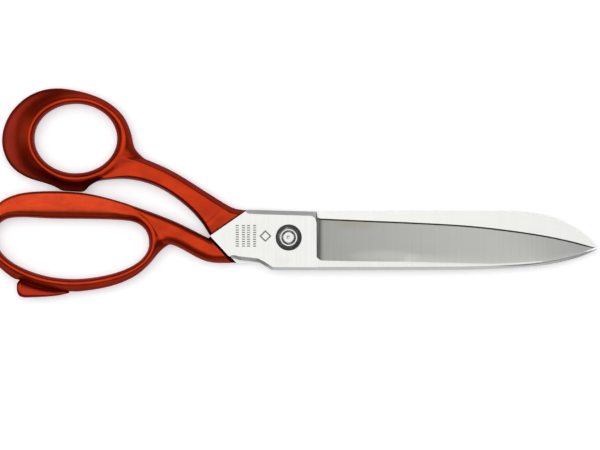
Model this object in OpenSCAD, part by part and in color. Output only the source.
// Tailor's shears, closed and lying flat: two forged halves that cross at one pivot.
// X runs from the bows to the tips, Y towards the thumb bow, Z up from the table.
// The origin is on the pivot axis, in the plane that the shears rest on.

/* [Forgings] */
// Thickness of each half where the two cross
half_t = 5; // [4.6:0.1:5.4]
// Clearance between the inner faces of the two halves
face_gap = 0.05; // [0.02:0.01:0.1]
// Height of both handles above the table
handle_h = 11.5; // [11:0.5:13]
// Clearance between the stop under the thumb bow and the finger bow
stop_gap = 0.3; // [0.2:0.1:0.6]

/* [Thumb bow] */
// Half the length of the thumb hole
thumb_hole_a = 17.2; // [15:0.2:18]
// Half the width of the thumb hole
thumb_hole_b = 14.4; // [13:0.2:15]

/* [Blades] */
// Height of a ground cutting edge above its inner face
edge_t = 0.3; // [0.2:0.05:0.5]
// Slope of the ground face in degrees
grind_angle = 14; // [12:0.5:15]
// Slope of the narrow bevel along the back of each blade in degrees
back_angle = 45; // [40:1:60]
// Draft of the forged side walls in degrees from flat
wall_angle = 72; // [68:1:80]
// Angle by which each blade thins towards its tip in degrees
taper_angle = 1.6; // [1:0.1:1.8]
// Distance from the pivot to the step where the ground face starts
grind_x = 11.8; // [11.5:0.1:12.2]

/* [Pivot] */
// Radius of the bearing shoulder of the screw
shoulder_r = 3.5; // [3.2:0.1:3.6]
// Radial clearance of the thumb half on the shoulder
running_gap = 0.05; // [0.02:0.01:0.09]
// Radius of the threaded stud
stud_r = 2.9; // [2.6:0.1:3]
// Width of the nut across its flats
nut_af = 7.9; // [7.6:0.1:8.4]
// Height of the nut
nut_h = 3.6; // [3:0.1:4]
// Radius of the round recess that the nut sits in
recess_r = 5.4; // [5.2:0.1:5.8]
// Depth of the recess
recess_depth = 1.65; // [1.4:0.05:1.8]
// Radius of the screw's head
head_r = 6.1; // [5.6:0.1:6.4]

/* [Hidden] */
$fn = 96;
over = 1;                                // how far a cutting shape runs past what it cuts
far = 300;                               // larger than the whole object
steps = 4;                               // straight pieces in each span of a curve
near_z = half_t + face_gap;              // inner face of the thumb half
near_top = near_z + half_t;              // outer face of the thumb half
recess_z = near_top - recess_depth;      // floor of the nut's recess
head_z = 0.15;                           // the screw's head lies just inside the resting plane
head_t = 1.6;
head_room = 0.1;                         // clearance round and over the screw's head
slot_w = 1.4;
slot_depth = 0.8;
dog_w = 1.6;                             // lug that stops the screw from turning
dog_r = head_r + 0.9;
shoulder_top = recess_z + 0.05;          // the nut tightens on the shoulder and leaves the half free
washer_r = 5;
washer_t = 0.6;
washer_rise = 0.3;                       // height of the washer's cone
washer_hole_r = stud_r + 0.1;
washer_z = recess_z + 0.03;
nut_z = washer_z + washer_rise + washer_t;
nut_top = nut_z + nut_h;
nut_crown_r = nut_af / 2 - 0.1;          // the nut's top face, inside its chamfer
nut_bore_r = stud_r + 0.02;
stud_top = nut_top + 0.6;
stud_chamfer = 0.5;
dimple_r = 0.6;

// Thumb half. The lacquer ends, and the forging steps down, along the line from lac_t0 to lac_t1.
lac_t0 = [-32.8, 0.7];
lac_t1 = [-17, 11.6];
// Upper edge of the thumb shank, from the pivot to the notch at the bow
thumb_shank_top = [[-12, 11.5], [-17.4, 11.5], [-23, 12.3], [-31.9, 17.5], [-40.4, 23],
                   [-48.9, 28.1], [-57, 31.7], [-62.1, 33.8]];
// Outside of the thumb bow, over the top and down to the stop
thumb_bow_edge = [[-62.1, 33.8], [-64.3, 37.3], [-65.8, 44], [-69, 50.8], [-75, 56.2], [-82.3, 59.6],
                  [-89.5, 61.4], [-96.4, 62.2], [-103.4, 61.2], [-110, 57.9], [-115.6, 52.3],
                  [-118.8, 45.6], [-119.5, 39.2], [-118, 33.4], [-114.6, 28.5], [-108.8, 24.9],
                  [-101, 22.5], [-94.8, 20.2]];
// Lower edge of the stop and of the thumb shank, down to the point at the lacquer line
stop_y = 19.3 + stop_gap;
thumb_shank_low = [[-85.2, stop_y], [-82.6, 21.8], [-78.6, 23.8], [-73, 24.5], [-67.3, 24.3], [-61.3, 23.3],
                   [-55.3, 21.3], [-48.9, 17.7], [-42.6, 12.9], [-37.2, 7.2], [-33, 0.9]];
thumb_hole_at = [-88.7, 41.2];

// Finger half. The full height ends at the shoulder, and the lacquer a little further on.
shoulder_0 = [-33.5, 0];
shoulder_1 = [-25.6, -8.5];
lacquer_run = 1.4;                       // how far the lacquer runs on past the shoulder
finger_shank_top = [[-33.5, -0.1], [-39, 2.7], [-46, 6.2], [-53.5, 9.3], [-62, 12.3], [-72.5, 15.7],
                    [-83, 18.2], [-93, 19.2], [-103, 19.3], [-112, 18.4], [-119.2, 15.6],
                    [-124.2, 10.2], [-126, 2.5], [-124.9, -5.5], [-120.6, -12.3], [-113.2, -18.2]];
// The foot at the lower left, with its round corner
foot_corner = [-111.9, -23.6];
foot_r = 1.6;
finger_low = [[-101.2, -24.8], [-95.3, -24.1], [-90.2, -22.8], [-84.5, -22.2], [-77, -21], [-69.8, -18.9],
              [-63.2, -15.6], [-57.9, -10.9], [-54, -6.2], [-50, -3.1], [-45.5, -4.4], [-40, -7.5],
              [-34, -10.8]];
// Finger hole, a long D with its straight side up
finger_hole = [[-58.2, -2], [-59.5, 2.8], [-63.3, 6], [-69.8, 7.2], [-83, 7.6], [-99, 7.8], [-111, 8.4],
               [-117.8, 7.6], [-121.4, 4.4], [-122, 0], [-120.1, -5.6], [-115.6, -10], [-109, -13.5],
               [-101.5, -15.9], [-93.5, -17.1], [-85.5, -17.1], [-77, -15.9], [-69.5, -13.8],
               [-62.9, -10.4], [-59.2, -6.3]];

// Steel of the thumb half: heel and back, then the tip, then the cutting edge and the ricasso.
thumb_heel = [lac_t0, [-24.9, -7.8], [-20.5, -9.4], [-16.1, -9.8], [-12.5, -10.3], [-9.6, -11.9],
              [-6.9, -13.6]];
thumb_back = [[-6.9, -13.6], [30, -13.6], [60, -13.5], [78, -13.3], [96, -12.5], [109, -11.1],
              [121, -8.2], [128.4, -5]];
thumb_edge = [[128.8, -4.6], [118, -1.6], [106, 0.9], [92, 3], [75, 4.9], [55, 6.1], [34, 7],
              [13.2, 7.9]];
thumb_ricasso = [[12.2, 9.3], [11.4, 10.8], [4.7, 11], lac_t1];

// Steel of the finger half, turned over so that its cutting edge is up as on the other half.
lac_f0 = [-31.4, 0.3];
lac_f1 = [-21.7, 10.7];
finger_heel = [lac_f0, [-24.9, -5.2], [-20.3, -7.2], [-16.1, -7.8], [-12.5, -8.4], [-9.5, -9.9],
               [-6.5, -10.8]];
finger_back = [[-6.5, -10.8], [30, -10.9], [60, -11], [80, -10.9], [96, -10.6], [107, -9],
               [116, -5.3], [123, -1], [127.4, 3.4]];
finger_edge = [[128.3, 5], [118, 7.3], [106, 8.6], [90, 9.1], [70, 9.2], [50, 9.1], [32, 8.9],
               [13.2, 8.5]];
finger_ricasso = [[12.2, 9.6], [11.4, 10.2], [4.7, 10.3], lac_f1];

// ---- Curves ----

// Points along one span, from b to c, of a smooth line that comes from a and goes on to d
function span(a, b, c, d) =
    [for (i = [0 : steps - 1])
        let (t = i / steps)
        b + t * (c - a) / 2 + t * t * (2 * a - 5 * b + 4 * c - d) / 2 + t * t * t * (3 * b - a - 3 * c + d) / 2];

// A smooth line through p, without its last point
function curve(p) =
    let (last = len(p) - 1)
    [for (i = [0 : last - 1])
        each span(p[max(i - 1, 0)], p[i], p[i + 1], p[min(i + 2, last)])];

// A smooth closed line through p
function closed_curve(p) =
    let (n = len(p))
    [for (i = [0 : n - 1])
        each span(p[(i + n - 1) % n], p[i], p[(i + 1) % n], p[(i + 2) % n])];

function ellipse(at, a, b) = [for (i = [0 : 5 : 355]) at + [a * cos(i), b * sin(i)]];

function arc(at, r, from, to) = [for (i = [0 : 4]) let (t = from + (to - from) * i / 4) at + r * [cos(t), sin(t)]];

// ---- Shapes ----

// A handle of full height: the outline of its forging with the bow's opening through it
module handle_plate(outline, hole) {
    linear_extrude(handle_h)
        difference() {
            polygon(outline);
            polygon(hole);
        }
}

// Everything on the right of the upright plane through a and b
module right_of(a, b) {
    way = b - a;
    translate([a.x, a.y, -far / 2])
        rotate([0, 0, atan2(way.y, way.x)])
            translate([-far / 2, -far, 0])
                cube([far, far, far]);
}

// Everything above a plane that holds the level line from a to b and rises to the left of it
module above_slope(a, b, z, slope) {
    way = b - a;
    translate([a.x, a.y, z])
        rotate([0, 0, atan2(way.y, way.x)])
            rotate([slope, 0, 0])
                translate([-far / 2, -far / 2, 0])
                    cube([far, far, far / 4]);
}

// One steel half with its inner face on z = 0, its outer face up and its cutting edge towards +Y
module steel_half(plan, edge, back, ricasso) {
    difference() {
        linear_extrude(half_t)
            polygon(plan);
        // the ground face: flats that meet along the length of the curved edge
        intersection() {
            union() {
                for (pair = [[0, 2], [2, 4], [4, 7]])
                    above_slope(edge[pair[0]], edge[pair[1]], edge_t, grind_angle);
            }
            translate([grind_x, -far / 2, -over])
                cube([far, far, far]);
        }
        // the bevel along the back, and the draft of the ricasso's upper wall
        for (pair = [[0, 3], [3, 5], [5, 6]])
            above_slope(back[pair[0]], back[pair[1]], half_t - 1.3, back_angle);
        above_slope(ricasso[1], ricasso[3], 0, wall_angle);
        // the outer face falls towards the tip
        translate([grind_x, -far / 2, half_t])
            rotate([0, taper_angle, 0])
                cube([far, far, far]);
    }
}

// ---- Thumb half ----

module thumb_blade() {
    color("gainsboro")
        translate([0, 0, near_z])
            difference() {
                steel_half(concat(thumb_heel, curve(thumb_back), curve(thumb_edge), [thumb_edge[7]],
                                  thumb_ricasso),
                           thumb_edge, thumb_back, thumb_ricasso);
                translate([0, 0, -over])
                    cylinder(h = half_t + 2 * over, r = shoulder_r + running_gap);
                translate([0, 0, half_t - recess_depth])
                    cylinder(h = recess_depth + over, r = recess_r);
            }
}

module thumb_handle() {
    outline = concat(curve(thumb_shank_top), curve(thumb_bow_edge), [thumb_bow_edge[17]],
                     curve(thumb_shank_low), [lac_t0, [-12, 4]]);
    ramp_slope = atan2(handle_h - near_top, 4);
    color("orangered")
        difference() {
            handle_plate(outline, ellipse(thumb_hole_at, thumb_hole_a, thumb_hole_b));
            right_of(lac_t0, lac_t1);
            above_slope(lac_t0, lac_t1, near_top, ramp_slope);
        }
}

// ---- Finger half ----

module finger_blade() {
    color("silver")
        difference() {
            translate([0, 0, half_t])
                rotate([180, 0, 0])
                    steel_half(concat(finger_heel, curve(finger_back), curve(finger_edge),
                                      [finger_edge[7]], finger_ricasso),
                               finger_edge, finger_back, finger_ricasso);
            translate([0, 0, -over])
                cylinder(h = half_t + 2 * over, r = shoulder_r);
            translate([0, 0, -over])
                cylinder(h = over + head_z + head_t, r = head_r + head_room);
            translate([0, -dog_w / 2 - head_room, -over])
                cube([dog_r + head_room, dog_w + 2 * head_room, over + head_z + head_t]);
        }
}

module finger_handle() {
    outline = concat(curve(finger_shank_top), [finger_shank_top[15]],
                     arc(foot_corner, foot_r, 180, 270), curve(finger_low),
                     [finger_low[12], [-12, -10.7], [-12, -3]]);
    along = (shoulder_1 - shoulder_0) / norm(shoulder_1 - shoulder_0);
    across = lacquer_run * [-along.y, along.x];
    color("orangered")
        difference() {
            handle_plate(outline, closed_curve(finger_hole));
            right_of(shoulder_1 + across, shoulder_0 + across);
            intersection() {
                right_of(shoulder_1, shoulder_0);
                translate([-far / 2, -far / 2, half_t])
                    cube([far, far, far]);
            }
        }
}

// ---- Pivot ----

module pivot_screw() {
    color("slategray")
        difference() {
            union() {
                rotate_extrude()
                    polygon([[0, head_z], [head_r - 0.3, head_z], [head_r, head_z + 0.3],
                             [head_r, head_z + head_t], [shoulder_r, head_z + head_t],
                             [shoulder_r, shoulder_top], [stud_r, shoulder_top],
                             [stud_r, stud_top - stud_chamfer], [stud_r - stud_chamfer, stud_top],
                             [0, stud_top]]);
                translate([0, -dog_w / 2, head_z])
                    cube([dog_r, dog_w, head_t]);
            }
            translate([-far / 2, -slot_w / 2, -over])
                cube([far, slot_w, over + head_z + slot_depth]);
            translate([0, 0, stud_top - dimple_r])
                cylinder(h = dimple_r + 0.01, r1 = 0, r2 = dimple_r);
        }
}

module spring_washer() {
    color("dimgray")
        translate([0, 0, washer_z])
            rotate_extrude()
                polygon([[washer_hole_r, washer_rise], [washer_r, 0], [washer_r, washer_t],
                         [washer_hole_r, washer_rise + washer_t]]);
}

module pivot_nut() {
    corner_r = nut_af / sqrt(3);
    crown = corner_r - nut_crown_r;
    color("darkgray")
        difference() {
            intersection() {
                translate([0, 0, nut_z])
                    rotate([0, 0, 42])
                        cylinder(h = nut_h, r = corner_r, $fn = 6);
                rotate_extrude()
                    polygon([[0, nut_z - over], [corner_r + over, nut_z - over],
                             [corner_r + over, nut_top - crown / 2 - over / 2], [nut_crown_r, nut_top],
                             [0, nut_top]]);
            }
            translate([0, 0, nut_z - over])
                cylinder(h = nut_h + 2 * over, r = nut_bore_r);
        }
}

finger_blade();
finger_handle();
thumb_blade();
thumb_handle();
pivot_screw();
spring_washer();
pivot_nut();
